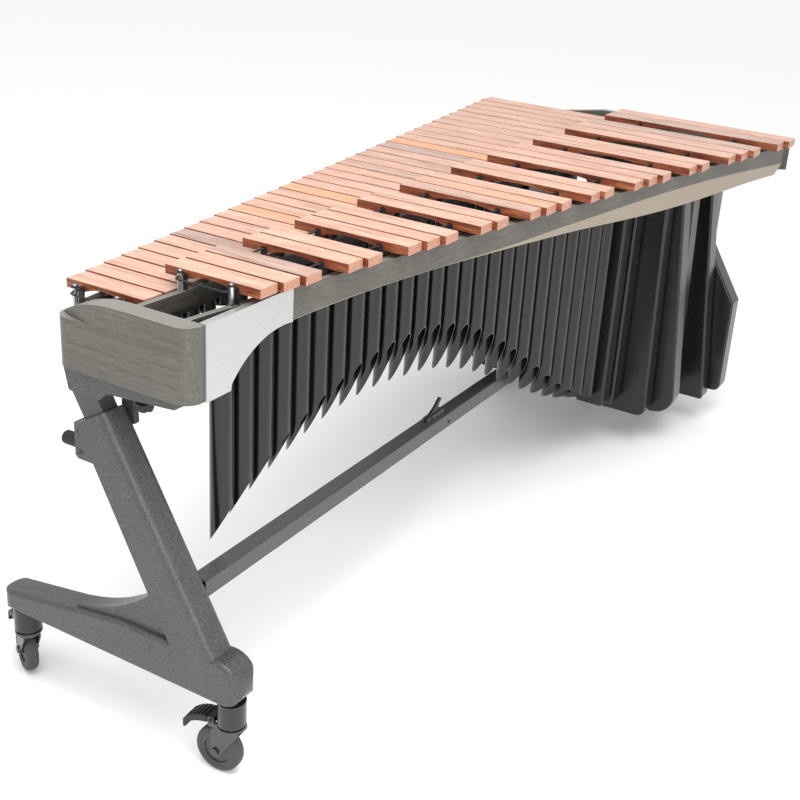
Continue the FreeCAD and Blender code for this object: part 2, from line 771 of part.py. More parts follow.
def foot_plan():
    """The foot seen from above: a bar with both ends rounded."""
    left = -LEG_X - FOOT_HALF
    right = -LEG_X + FOOT_HALF
    r = NOSE_PLAN_RADIUS
    k = r * (1.0 - math.sqrt(0.5))
    return profile_xy([
        (left, FOOT_NOSE_Y + r),
        (left + k, FOOT_NOSE_Y + k, left + r, FOOT_NOSE_Y),
        (right - r, FOOT_NOSE_Y),
        (right - k, FOOT_NOSE_Y + k, right, FOOT_NOSE_Y + r),
        (right, FOOT_REAR_Y - r),
        (right - k, FOOT_REAR_Y - k, right - r, FOOT_REAR_Y),
        (left + r, FOOT_REAR_Y),
        (left + k, FOOT_REAR_Y - k, left, FOOT_REAR_Y - r),
    ], FOOT_BOTTOM - 10.0, FOOT_BOTTOM + 200.0)


def leg_casting():
    foot = profile_yz(foot_outline(), -LEG_X - FOOT_HALF, -LEG_X + FOOT_HALF)
    foot = rounded(foot, 9.0, lambda edge: edge.BoundBox.ZMax > FOOT_BOTTOM + 42.0
                   and edge.BoundBox.XLength < 1.0)
    foot = foot.common(foot_plan())
    post = profile_yz(post_outline(), -LEG_X - POST_HALF, -LEG_X + POST_HALF)
    side = V(0, *leg_point(1.0, 0.0)) - V(0, *leg_point(0.0, 0.0))
    post = rounded(post, 18.0, lambda edge: runs_along(side.normalize())(edge))
    casting = foot.fuse([post, web_solid()]).removeSplitter()
    bore = profile_yz([leg_point(POST_LENGTH - 300.0, 12.0), leg_point(POST_LENGTH + 5.0, 12.0),
                       leg_point(POST_LENGTH + 5.0, 12.0 + SLEEVE_WIDTH + 2 * SLIDE_CLEARANCE),
                       leg_point(POST_LENGTH - 300.0, 12.0 + SLEEVE_WIDTH + 2 * SLIDE_CLEARANCE)],
                      -LEG_X - SLEEVE_HALF - SLIDE_CLEARANCE, -LEG_X + SLEEVE_HALF + SLIDE_CLEARANCE)
    stems = [Part.makeCylinder(16.0, 60.0, V(-LEG_X, y, FOOT_BOTTOM - 1.0), Z_AXIS)
             for y in (STEM_FRONT_Y, STEM_REAR_Y)]
    stems[1] = Part.makeCylinder(16.0, 26.0, V(-LEG_X, STEM_REAR_Y, FOOT_BOTTOM - 1.0), Z_AXIS)
    return casting.cut([bore] + stems)


def leg_half(side):
    """Outer or inner half of the split casting, on either side of the seam."""
    big = 400.0
    if side == "outer":
        cutter = box(-LEG_X - SEAM_GAP / 2, -LEG_X + big, -big, big + 100, 0, 900)
    else:
        cutter = box(-LEG_X - big, -LEG_X + SEAM_GAP / 2, -big, big + 100, 0, 900)
    return leg_casting().cut(cutter)


def clamp_block():
    """Boss that carries the height knob on the player side of the post's top."""
    high = POST_LENGTH - 2.0
    low = POST_LENGTH - 90.0
    outline = [leg_point(high, post_edge(high) + 0.3),
               (CLAMP_FACE_Y, 690.0), (CLAMP_FACE_Y, 620.0), (CLAMP_FACE_Y - 6.0, 614.0),
               leg_point(low, post_edge(low) + 0.3)]
    side = -LEG_X - 26.0
    block = profile_yz(outline, side, -LEG_X + 26.0)
    hole = Part.makeCylinder(6.05, 90.0, V(-LEG_X, 80.0, KNOB_Z), Y_AXIS)
    pieces = [block.cut(hole)]
    for z in (673.0, 629.0):
        seat = V(side - 3.0, CLAMP_FACE_Y - 12.0, z)
        head = Part.makeCylinder(5.0, 3.0, seat, X_AXIS)
        pieces.append(head.cut(Part.makeCylinder(2.4, 2.0, seat - V(0.5, 0, 0), X_AXIS)))
    return Part.makeCompound(pieces)


KNOB_Z = 634.0
CLAMP_FACE_Y = 140.0


def height_knob():
    """Fluted hand knob on a clamping screw that presses on the sliding tube."""
    start = CLAMP_FACE_Y + 6.0
    grip = Part.makeCylinder(14.0, 44.0, V(-LEG_X, start, KNOB_Z), Y_AXIS)
    grip = grip.makeFillet(3.0, grip.Edges)
    for turn in range(8):
        angle = math.radians(45.0 * turn)
        spot = V(-LEG_X + 16.0 * math.cos(angle), start + 6.0, KNOB_Z + 16.0 * math.sin(angle))
        grip = grip.cut(Part.makeCylinder(3.2, 50.0, spot, Y_AXIS))
    collar = Part.makeCylinder(10.0, 7.0, V(-LEG_X, start - 5.5, KNOB_Z), Y_AXIS)
    screw = Part.makeCylinder(6.0, 26.0, V(-LEG_X, start - 26.0, KNOB_Z), Y_AXIS)
    return grip.fuse([collar, screw]).removeSplitter()


def upper_leg():
    """Sliding inner tube with the cast arm that carries the end block."""
    a0 = 12.0 + SLIDE_CLEARANCE
    a1 = a0 + SLEEVE_WIDTH
    tube_outline = [leg_point(POST_LENGTH - 220.0, a0), leg_point(POST_LENGTH + 62.0, a0),
                    leg_point(POST_LENGTH + 62.0, a1), leg_point(POST_LENGTH - 220.0, a1)]
    tube_solid = profile_yz(tube_outline, -LEG_X - SLEEVE_HALF, -LEG_X + SLEEVE_HALF)
    arm = profile_yz([
        (148.0, BLOCK_BOTTOM - 0.5),
        (-150.0, BLOCK_BOTTOM - 0.5),
        (-120.0, BLOCK_BOTTOM - 20.0),
        (40.0, BLOCK_BOTTOM - 34.0),
        (60.0, BLOCK_BOTTOM - 52.0),
        (136.0, BLOCK_BOTTOM - 52.0),
    ], -LEG_X - 38.0, -LEG_X + 30.0)
    arm = rounded(arm, 6.0, lambda edge: runs_along(X_AXIS)(edge)
                  and edge.BoundBox.ZMax < BLOCK_BOTTOM - 10.0)
    hanger = box(-LEG_X + POST_HALF - 6.0, 12.0, 44.0, 74.0, BLOCK_BOTTOM - 50.0, BLOCK_BOTTOM - 24.0)
    stop_lug = box(-LEG_X + POST_HALF + 1.0, 12.0, 44.0, 74.0, 690.0, BLOCK_BOTTOM - 30.0)
    hole = Part.makeCylinder(FRAME_SCREW + 0.05, 40.0, V(-LEG_X, FRAME_KNOB_Y, BLOCK_BOTTOM - 52.0), Z_AXIS)
    return tube_solid.fuse([arm, hanger, stop_lug]).removeSplitter().cut(hole)


def frame_knob():
    """Hand screw under the arm that holds the end block down."""
    centre = V(-LEG_X, FRAME_KNOB_Y, 0)
    grip = Part.makeCylinder(17.0, 14.0, centre + V(0, 0, BLOCK_BOTTOM - 62.0), Z_AXIS)
    for turn in range(6):
        angle = math.radians(60.0 * turn)
        spot = centre + V(21.0 * math.cos(angle), 21.0 * math.sin(angle), BLOCK_BOTTOM - 70.0)
        grip = grip.cut(Part.makeCylinder(7.0, 40.0, spot, Z_AXIS))
    neck = Part.makeCylinder(9.0, 20.0, centre + V(0, 0, BLOCK_BOTTOM - 50.0), Z_AXIS)
    screw = Part.makeCylinder(FRAME_SCREW, 16.0, centre + V(0, 0, BLOCK_BOTTOM - 32.0), Z_AXIS)
    return grip.fuse([neck, screw]).removeSplitter()


# ---- crossbar
def crossbar_tube(x0, x1, size, wall):
    half = size / 2.0
    outer = box(x0, x1, CROSSBAR_Y - half, CROSSBAR_Y + half, CROSSBAR_Z - half, CROSSBAR_Z + half)
    outer = rounded(outer, 3.0, runs_along(X_AXIS))
    inner = box(x0 - 1, x1 + 1, CROSSBAR_Y - half + wall, CROSSBAR_Y + half - wall,
                CROSSBAR_Z - half + wall, CROSSBAR_Z + half - wall)
    return outer.cut(inner)


HOOK_X = 893.0
HOOK_LUG_START = 872.0
HOOK_LUG_END = 956.0
CROSSBAR_JOIN = 1175.0


def crossbar_half(end):
    inner_face = -LEG_X + POST_HALF + 0.3
    if end == "treble":
        half = crossbar_tube(inner_face, CROSSBAR_JOIN - 0.3, CROSSBAR_SIZE, CROSSBAR_WALL)
        size = CROSSBAR_SIZE - 2 * CROSSBAR_WALL - 0.6
        tongue = crossbar_tube(CROSSBAR_JOIN - 90.0, CROSSBAR_JOIN + 90.0, size, 2.5)
        pivot_top = CROSSBAR_Z + CROSSBAR_SIZE / 2.0
        lug = box(HOOK_LUG_START, HOOK_LUG_END, CROSSBAR_Y - 8, CROSSBAR_Y - 4, pivot_top - 0.5,
                  pivot_top + 13)
        other = lug.copy()
        other.translate(V(0, 12.0, 0))
        seat = V(HOOK_X + 74.0, CROSSBAR_Y - CROSSBAR_SIZE / 2.0, CROSSBAR_Z - 6.0)
        screw = Part.makeCylinder(4.5, 3.0, seat, V(0, -1, 0))
        lugs = half.fuse([lug, other]).removeSplitter()
        return Part.makeCompound([lugs.cut(hook_pin(3.05)), tongue, screw])
    return crossbar_tube(CROSSBAR_JOIN + 0.3, BED_LENGTH - inner_face, CROSSBAR_SIZE, CROSSBAR_WALL)


def hook_pin(radius):
    top = CROSSBAR_Z + CROSSBAR_SIZE / 2.0
    return Part.makeCylinder(radius, 22.0, V(HOOK_X, CROSSBAR_Y - 11.0, top + 8.0), Y_AXIS)


def crossbar_hook():
    """Small latch hook that stands on the crossbar and swings on its pin."""
    pivot = CROSSBAR_Z + CROSSBAR_SIZE / 2.0 + 8.0
    face_y = CROSSBAR_Y - 3.6
    points = ((-6, 3), (-3, 10), (20, 20), (45, 41), (54, 37), (42, 25), (35, 9), (6, -3))
    corners = [V(HOOK_X + dx, face_y, pivot + dz) for dx, dz in points]
    plate = Part.Face(Part.makePolygon(corners + corners[:1])).extrude(V(0, 7.2, 0))
    boss = Part.makeCylinder(7.0, 7.2, V(HOOK_X, face_y, pivot), Y_AXIS)
    return plate.fuse([boss, hook_pin(3.0)]).removeSplitter()


# ---- casters
def caster_pieces():
    """Fork with axle, hub, tyre and brake pedal around a stem at the origin, trailing to +y.

    Heights here are from the floor; save() and main() bring them to the drawing datum.
    """
    axle_height = WHEEL_RADIUS
    housing = HOUSING_BOTTOM - FLOOR_Z
    half = WHEEL_WIDTH / 2.0
    crown_low = 2 * WHEEL_RADIUS + 6.0
    crown = Part.makeCylinder(25.0, housing - 2.0 - crown_low, V(0, 0, crown_low), Z_AXIS)
    ring = Part.makeCylinder(29.0, 5.0, V(0, 0, housing - 9.0), Z_AXIS)
    stem = Part.makeCylinder(8.0, 40.0, V(0, 0, housing - 3.0), Z_AXIS)
    fork = crown.fuse([ring, stem])
    for x0 in (-half - 5.0, half + 2.0):
        cheek = profile_yz([
            (-24.0, crown_low + 8.0),
            (-24.0, crown_low - 4.0),
            (CASTER_TRAIL - 11.0, axle_height - 6.0),
            (CASTER_TRAIL, axle_height - 13.0, CASTER_TRAIL + 11.0, axle_height - 6.0),
            (CASTER_TRAIL + 10.0, crown_low - 6.0),
            (24.0, crown_low + 8.0),
        ], x0, x0 + 3.0)
        fork = fork.fuse(cheek)
        fork = fork.fuse(box(x0, x0 + 3.0, 0.0, PEDAL_PIN_Y + 7.0, crown_low, crown_low + 11.0))
        fork = fork.fuse(box(x0, x0 + 3.0, 30.5, PEDAL_PIN_Y + 7.0, crown_low, crown_low + 22.0))
    bridge = box(-half - 5.0, half + 5.0, -22.0, 28.0, crown_low, crown_low + 4.0)
    fork = fork.fuse(bridge).removeSplitter()
    fork = fork.cut(Part.makeCylinder(4.05, 80.0, V(-40, PEDAL_PIN_Y, crown_low + PEDAL_PIN_RISE), X_AXIS))
    axle = Part.makeCylinder(4.95, WHEEL_WIDTH + 10.0, V(-half - 5.0, CASTER_TRAIL, axle_height), X_AXIS)
    head = Part.makeCylinder(8.5, 4.0, V(-half - 9.0, CASTER_TRAIL, axle_height), X_AXIS)
    nut = Part.makeCylinder(8.0, 5.0, V(half + 5.0, CASTER_TRAIL, axle_height), X_AXIS)
    bolt = axle.fuse([head, nut]).removeSplitter()
    fork = fork.cut(Part.makeCylinder(5.0, 80.0, V(-40, CASTER_TRAIL, axle_height), X_AXIS))
    fork = Part.makeCompound([fork, bolt])
    hub_radius = 0.70 * WHEEL_RADIUS
    hub = Part.makeCylinder(hub_radius, WHEEL_WIDTH - 2.0, V(-half + 1.0, CASTER_TRAIL, axle_height), X_AXIS)
    for x0 in (-half, half - 5.0):
        dish = Part.makeCylinder(hub_radius - 5.0, 5.0, V(x0, CASTER_TRAIL, axle_height), X_AXIS)
        dish = dish.cut(Part.makeCylinder(12.0, 5.0, V(x0, CASTER_TRAIL, axle_height), X_AXIS))
        hub = hub.cut(dish)
    hub = hub.cut(Part.makeCylinder(5.0, 60.0, V(-30, CASTER_TRAIL, axle_height), X_AXIS))
    tyre = Part.makeCylinder(WHEEL_RADIUS, WHEEL_WIDTH, V(-half, CASTER_TRAIL, axle_height), X_AXIS)
    tyre = tyre.makeFillet(9.0, tyre.Edges)
    tyre = tyre.cut(Part.makeCylinder(hub_radius, 60.0, V(-30, CASTER_TRAIL, axle_height), X_AXIS))
    pedal = brake_pedal(half, crown_low)
    return {"fork": fork, "hub": hub, "tyre": tyre, "brake_pedal": pedal}


PEDAL_PIN_Y = 38.0
PEDAL_PIN_RISE = 15.0
PEDAL_TIP_Y = 104.0
PEDAL_HALF = 19.0


def brake_pedal(half, crown_low):
    """Foot pedal that swings on a pin between the fork cheeks, beyond the trailing side."""
    z = crown_low
    neck = profile_yz([
        (PEDAL_PIN_Y - 5.5, z + 21.5),
        (PEDAL_PIN_Y - 5.5, z + 8.0),
        (PEDAL_PIN_Y + 14.0, z + 6.0),
        (PEDAL_PIN_Y + 14.0, z + 21.5),
    ], -half - 1.2, half + 1.2)
    plate = profile_yz([
        (PEDAL_PIN_Y + 9.0, z + 8.0),
        (PEDAL_PIN_Y + 36.0, z + 1.0, PEDAL_TIP_Y - 7.0, z - 12.0),
        (PEDAL_TIP_Y - 5.0, z - 24.0),
        (PEDAL_TIP_Y, z - 24.0),
        (PEDAL_TIP_Y, z - 6.0),
        (PEDAL_PIN_Y + 42.0, z + 13.0, PEDAL_PIN_Y + 9.0, z + 22.0),
    ], -PEDAL_HALF, PEDAL_HALF)
    start = V(-half - 7.0, PEDAL_PIN_Y, z + PEDAL_PIN_RISE)
    pin = Part.makeCylinder(4.0, WHEEL_WIDTH + 14.0, start, X_AXIS)
    return neck.fuse([plate, pin]).removeSplitter()


CASTERS = {
    "treble_front": (-LEG_X, STEM_FRONT_Y, 4.0),
    "treble_rear": (-LEG_X, STEM_REAR_Y, -28.0),
    "bass_front": (BED_LENGTH + LEG_X, STEM_FRONT_Y, 20.0),
    "bass_rear": (BED_LENGTH + LEG_X, STEM_REAR_Y, 40.0),
}


def caster_housings():
    housings = []
    for x, y, _ in CASTERS.values():
        sleeve = Part.makeCylinder(29.0, FOOT_BOTTOM - HOUSING_BOTTOM - 1.2,
                                   V(x, y, HOUSING_BOTTOM + 0.2), Z_AXIS)
        plug_height = 56.0 if y < 0 else 24.0
        plug = Part.makeCylinder(15.9, plug_height, V(x, y, FOOT_BOTTOM - 1.0), Z_AXIS)
        socket = Part.makeCylinder(8.05, 39.0, V(x, y, HOUSING_BOTTOM), Z_AXIS)
        housings.append(sleeve.fuse(plug).cut(socket).removeSplitter())
    return Part.makeCompound(housings)


def main():
    os.makedirs("parts", exist_ok=True)
    for octave in range(len(OCTAVE_PITCH)):
        save("natural_bars_octave_%d" % (octave + 1), natural_bars(octave))
        save("accidental_bars_octave_%d" % (octave + 1), accidental_bars(octave))
    for kind in CORD_LINES:
        save(kind + "_cord", cord(kind))
        save(kind + "_cord_posts", cord_posts(kind))
        save(kind + "_post_rails", post_rails(kind))
    save("audience_rail_treble", audience_rail("treble"))
    save("audience_rail_bass", audience_rail("bass"))
    save("player_rail", player_rail())
    save("treble_end_block", treble_block())
    save("bass_end_block", bass_block())
    save("corner_plate", corner_plate())
    save("accidental_resonator_tubes", accidental_tubes())
    save("accidental_resonator_boxes", accidental_boxes())
    save("natural_resonator_tubes", natural_resonators("tube"))
    save("natural_resonator_boxes", natural_resonators("box"))
    save("resonator_rails", resonator_rails())
    save("cord_end_posts", end_posts())
    end_pieces = {
        "leg_outer_half": leg_half("outer"),
        "leg_inner_half": leg_half("inner"),
        "clamp_block": clamp_block(),
        "height_knob": height_knob(),
        "upper_leg": upper_leg(),
        "frame_knob": frame_knob(),
    }
    for name, shape in end_pieces.items():
        save("treble_" + name, shape)
        save("bass_" + name, mirrored(shape))
    save("crossbar_treble_half", crossbar_half("treble"))
    save("crossbar_bass_half", crossbar_half("bass"))
    save("crossbar_hook", crossbar_hook())
    save("caster_housings", caster_housings())
    pieces = caster_pieces()
    for place, (x, y, turn) in CASTERS.items():
        for name, shape in pieces.items():
            placed = shape.copy()
            placed.rotate(V(0, 0, 0), Z_AXIS, turn)
            placed.translate(V(x, y, FLOOR_Z))
            save(place + "_" + name, placed)


main()
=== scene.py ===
"""Concert marimba: materials, small fittings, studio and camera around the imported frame."""
import json
import logging
import math
from dataclasses import dataclass, field
from enum import Enum
from typing import Sequence

import bmesh
import bpy
from mathutils import Euler, Matrix, Vector


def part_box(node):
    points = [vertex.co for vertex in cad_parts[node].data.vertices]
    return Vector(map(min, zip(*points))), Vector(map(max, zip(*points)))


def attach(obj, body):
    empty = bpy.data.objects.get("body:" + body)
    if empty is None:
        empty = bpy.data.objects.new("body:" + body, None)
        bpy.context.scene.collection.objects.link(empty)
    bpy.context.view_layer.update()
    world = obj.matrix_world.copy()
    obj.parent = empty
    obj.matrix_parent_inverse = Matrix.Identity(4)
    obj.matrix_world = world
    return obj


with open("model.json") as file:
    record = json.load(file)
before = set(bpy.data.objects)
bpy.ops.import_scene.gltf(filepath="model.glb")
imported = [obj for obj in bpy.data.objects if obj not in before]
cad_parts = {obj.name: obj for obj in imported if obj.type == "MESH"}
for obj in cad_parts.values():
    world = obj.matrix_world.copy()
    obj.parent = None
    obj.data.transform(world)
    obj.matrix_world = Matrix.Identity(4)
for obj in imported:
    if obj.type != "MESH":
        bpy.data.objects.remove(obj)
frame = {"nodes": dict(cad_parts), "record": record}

LOG = logging.getLogger("marimba")
MM = 0.001
WELD = 0.02 * MM             # vertices of a CAD mesh closer than this are one
SHARP = math.radians(35.0)   # edges of new pieces above this angle stay crisp
NODES: dict[str, bpy.types.Object] = frame["nodes"]
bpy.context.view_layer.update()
JOINTS = {joint["name"]: joint for joint in frame["record"]["behaviour"]["joints"]}


# ---------------------------------------------------------------- colour and node helpers
def linear(hex_code: str) -> tuple[float, float, float, float]:
    """Turn an sRGB hex colour into linear RGBA.

    Args:
        hex_code: Six hex digits, such as "C08060".

    Returns:
        Red, green and blue in linear light, and an alpha of 1.
    """
    parts = [int(hex_code[i:i + 2], 16) / 255.0 for i in (0, 2, 4)]
    light = [c / 12.92 if c <= 0.04045 else ((c + 0.055) / 1.055) ** 2.4 for c in parts]
    return light[0], light[1], light[2], 1.0


def add_node(
    tree: bpy.types.NodeTree,
    kind: str,
    settings: dict | None = None,
    values: dict | None = None,
    links: dict | None = None,
) -> bpy.types.Node:
    """Add one node with its settings, socket values and incoming links.

    Args:
        tree: The node tree that gets the node.
        kind: The node's type name, such as "ShaderNodeMath".
        settings: Attributes of the node.
        values: Constants for its input sockets, by name or number.
        links: Output sockets that feed its input sockets, by name or number.

    Returns:
        The new node.
    """
    node = tree.nodes.new(kind)
    for name, value in (settings or {}).items():
        setattr(node, name, value)
    for name, value in (values or {}).items():
        node.inputs[name].default_value = value
    for name, socket in (links or {}).items():
        tree.links.new(socket, node.inputs[name])
    return node


@dataclass(frozen=True)
class Finish:
    """A real material with the way its surface was made."""

    title: str

    def build(self) -> bpy.types.Material:
        """Make the Blender material.

        Returns:
            The finished material.
        """
        material = bpy.data.materials.new(self.title)
        material.use_nodes = True
        tree = material.node_tree
        shader = tree.nodes["Principled BSDF"]
        coords = add_node(tree, "ShaderNodeTexCoord")
        self.paint(tree, shader, coords.outputs["Object"])
        return material

    def paint(self, tree: bpy.types.NodeTree, shader: bpy.types.Node,
              place: bpy.types.NodeSocket) -> None:
        """Connect the surface's pattern to the shader.

        Args:
            tree: The material's node tree.
            shader: Its principled shader.
            place: Object coordinates in metres.
        """
        raise NotImplementedError


def scaled(tree: bpy.types.NodeTree, place: bpy.types.NodeSocket,
           scale: Sequence[float]) -> bpy.types.NodeSocket:
    """Stretch coordinates, one factor for each axis.

    Args:
        tree: The node tree.
        place: The coordinates.
        scale: Factors along X, Y and Z.

    Returns:
        The stretched coordinates.
    """
    return add_node(tree, "ShaderNodeMapping", values={"Scale": tuple(scale)},
                    links={"Vector": place}).outputs[0]


def noise(tree: bpy.types.NodeTree, place: bpy.types.NodeSocket, scale: float,
          detail: float = 3.0, rough: float = 0.55) -> bpy.types.NodeSocket:
    """Fractal noise from 0 to 1.

    Args:
        tree: The node tree.
        place: The coordinates that it reads.
        scale: Features per metre.
        detail: Number of octaves.
        rough: Weight of the finer octaves.

    Returns:
        The noise value.
    """
    return add_node(tree, "ShaderNodeTexNoise",
                    values={"Scale": scale, "Detail": detail, "Roughness": rough},
                    links={"Vector": place}).outputs["Fac"]


def ramp(tree: bpy.types.NodeTree, value: bpy.types.NodeSocket,
         stops: Sequence[tuple[float, str]]) -> bpy.types.NodeSocket:
    """Colour ramp between hex colours.

    Args:
        tree: The node tree.
        value: What it reads.
        stops: Places from 0 to 1, each with a hex colour.

    Returns:
        The colour.
    """
    node = add_node(tree, "ShaderNodeValToRGB", links={0: value})
    elements = node.color_ramp.elements
    while len(elements) < len(stops):
        elements.new(0.5)
    for element, (place, colour) in zip(elements, stops):
        element.position = place
        element.color = linear(colour)
    return node.outputs["Color"]


def remap(tree: bpy.types.NodeTree, value: bpy.types.NodeSocket, low: float, high: float,
          to_low: float, to_high: float) -> bpy.types.NodeSocket:
    """Map a value from one range to another, clamped.

    Args:
        tree: The node tree.
        value: What it reads.
        low: Start of the range read.
        high: End of the range read.
        to_low: Result at the start.
        to_high: Result at the end.

    Returns:
        The mapped value.
    """
    return add_node(tree, "ShaderNodeMapRange", values={1: low, 2: high, 3: to_low, 4: to_high},
                    links={0: value}).outputs[0]


def mix(tree: bpy.types.NodeTree, fac: bpy.types.NodeSocket | float,
        first: bpy.types.NodeSocket | str, second: bpy.types.NodeSocket | str,
        blend: str = "MIX") -> bpy.types.NodeSocket:
    """Mix two colours.

    Args:
        tree: The node tree.
        fac: How much of the second.
        first: A colour socket or a hex colour.
        second: A colour socket or a hex colour.
        blend: The blend mode.

    Returns:
        The mixed colour.
    """
    node = add_node(tree, "ShaderNodeMix", settings={"data_type": "RGBA", "blend_type": blend})
    for index, part in ((0, fac), (6, first), (7, second)):
        if isinstance(part, str):
            node.inputs[index].default_value = linear(part)
        elif isinstance(part, float):
            node.inputs[index].default_value = part
        else:
            tree.links.new(part, node.inputs[index])
    return node.outputs[2]


def bump(tree: bpy.types.NodeTree, height: bpy.types.NodeSocket, depth_mm: float,
         strength: float = 1.0) -> bpy.types.NodeSocket:
    """Surface relief.

    Args:
        tree: The node tree.
        height: Height from 0 to 1.
        depth_mm: Depth of that height in millimetres.
        strength: How much of it shows.

    Returns:
        The bent normal.
    """
    return add_node(tree, "ShaderNodeBump", values={"Strength": strength, "Distance": depth_mm * MM},
                    links={"Height": height}).outputs[0]


# ---------------------------------------------------------------- finishes
@dataclass(frozen=True)
class OiledRosewood(Finish):
    """Planed and oiled rosewood: salmon tops, deeper red-brown sides darkened with painted shade, pores on
    the end grain.

    Each bar of a group takes its own tone from its place along the row.
    """

    title: str
    start: float
    pitch: float
    seed: float

    def paint(self, tree: bpy.types.NodeTree, shader: bpy.types.Node,
              place: bpy.types.NodeSocket) -> None:
        """Grain along the bars, one tone for each bar, deeper colour and painted shade on the sawn sides.

        Args:
            tree: The material's node tree.
            shader: Its principled shader.
            place: Object coordinates in metres.
        """
        axes = add_node(tree, "ShaderNodeSeparateXYZ", links={0: place})
        along = add_node(tree, "ShaderNodeMath", settings={"operation": "SUBTRACT"},
                         values={1: self.start}, links={0: axes.outputs[0]})
        number = add_node(tree, "ShaderNodeMath", settings={"operation": "DIVIDE"},
                          values={1: self.pitch}, links={0: along.outputs[0]})
        whole = add_node(tree, "ShaderNodeMath", settings={"operation": "FLOOR"},
                         links={0: number.outputs[0]})
        tone = add_node(tree, "ShaderNodeTexWhiteNoise", settings={"noise_dimensions": "2D"},
                        links={0: add_node(tree, "ShaderNodeCombineXYZ", values={1: self.seed},
                                           links={0: whole.outputs[0]}).outputs[0]})
        shift = add_node(tree, "ShaderNodeVectorMath", settings={"operation": "MULTIPLY_ADD"},
                         values={1: (3.0, 9.0, 5.0)},
                         links={0: tone.outputs["Color"], 2: place}).outputs[0]
        # Broad figure and fine pores, both drawn out along the bar.
        figure = noise(tree, scaled(tree, shift, (1.0, 0.09, 1.0)), 70.0, 5.0, 0.6)
        pores = noise(tree, scaled(tree, shift, (1.0, 0.035, 1.0)), 900.0, 2.0, 0.5)
        light = ramp(tree, figure, ((0.26, "A2755E"), (0.44, "BE937D"), (0.62, "CEA590"),
                                    (0.8, "D8B3A1")))
        grey = ramp(tree, figure, ((0.3, "7A6156"), (0.5, "9F867B"), (0.75, "B59D93")))
        # Some bars of a group are greyer, and the odd one is amber.
        dull = remap(tree, tone.outputs["Value"], 0.62, 1.0, 0.0, 0.9)
        top = mix(tree, dull, light, grey)
        amber = remap(tree, tone.outputs["Value"], 0.10, 0.04, 0.0, 0.75)
        top = mix(tree, amber, top, "CF9058")
        streak = remap(tree, pores, 0.34, 0.50, 0.5, 0.0)
        top = mix(tree, streak, top, "8A563C")
        # Sawn sides: the wood's own deeper red-brown, made darker still as painted shade for the upright
        # faces turned away from the overhead light.
        side_wood_and_shade = ramp(tree, figure, ((0.3, "4E2212"), (0.5, "844428"), (0.72, "A96743")))
        side_wood_and_shade = mix(tree, remap(tree, pores, 0.38, 0.52, 0.65, 0.0), side_wood_and_shade, "2E130D")
        open_ends = remap(tree, noise(tree, shift, 650.0, 2.0), 0.42, 0.6, 0.6, 0.0)
        ends = mix(tree, open_ends, "C79279", "6B3A29")
        # Tops, sawn sides and end grain are told apart by the way the face points, which also puts the
        # painted shade on the sides.
        face = add_node(tree, "ShaderNodeNewGeometry").outputs["Normal"]
        normal = add_node(tree, "ShaderNodeSeparateXYZ", links={0: face})
        facing_up = remap(tree, normal.outputs[2], 0.35, 0.85, 0.0, 1.0)
        sideways = add_node(tree, "ShaderNodeMath", settings={"operation": "ABSOLUTE"},
                            links={0: normal.outputs[1]})
        end_face = remap(tree, sideways.outputs[0], 0.6, 0.8, 0.0, 1.0)
        body = mix(tree, end_face, side_wood_and_shade, ends)
        colour = mix(tree, facing_up, body, top)
        tree.links.new(colour, shader.inputs["Base Color"])
        tree.links.new(remap(tree, figure, 0.2, 0.8, 0.44, 0.34), shader.inputs["Roughness"])
        tree.links.new(bump(tree, pores, 0.12, 0.35), shader.inputs["Normal"])
        shader.inputs["IOR"].default_value = 1.47
        shader.inputs["Coat Weight"].default_value = 0.12
        shader.inputs["Coat Roughness"].default_value = 0.3


class Axis(Enum):
    """Which way the grain of a wooden piece runs."""

    X = (0.025, 1.0, 1.0)
    Y = (1.0, 0.025, 1.0)


@dataclass(frozen=True)
class StainedOak(Finish):
    """Grey-brown stained oak under satin lacquer: fine open pores in long dashes."""

    title: str
    grain: Axis
    light: str = "67645C"
    dark: str = "54514A"

    def paint(self, tree: bpy.types.NodeTree, shader: bpy.types.Node,
              place: bpy.types.NodeSocket) -> None:
        """Long fine grain with dark pores, painted light on the upward faces and a painted tan reflection
        from the floor on the bevel underneath.

        Args:
            tree: The material's node tree.
            shader: Its principled shader.
            place: Object coordinates in metres.
        """
        stretched = scaled(tree, place, self.grain.value)
        fine = noise(tree, stretched, 1500.0, 4.0, 0.62)
        bands = noise(tree, stretched, 160.0, 3.0, 0.5)
        colour = ramp(tree, bands, ((0.3, self.dark), (0.7, self.light)))
        colour = mix(tree, remap(tree, fine, 0.38, 0.56, 0.62, 0.0), colour, "33302A")
        face = add_node(tree, "ShaderNodeNewGeometry").outputs["Normal"]
        upright = add_node(tree, "ShaderNodeSeparateXYZ", links={0: face}).outputs[2]
        # Painted light: faces that point upwards are paler, as if lit from above.
        colour = mix(tree, remap(tree, upright, 0.6, 0.95, 0.0, 0.55), colour, "86847D")
        # Painted reflection: faces that point downwards, such as the bevel underneath, are tinted tan like
        # warm light thrown up from the floor.
        colour = mix(tree, remap(tree, upright, -0.08, -0.2, 0.0, 0.7), colour, "A3947F")
        tree.links.new(colour, shader.inputs["Base Color"])
        tree.links.new(bump(tree, fine, 0.12, 0.35), shader.inputs["Normal"])
        tree.links.new(remap(tree, fine, 0.3, 0.7, 0.52, 0.36), shader.inputs["Roughness"])
        shader.inputs["IOR"].default_value = 1.5


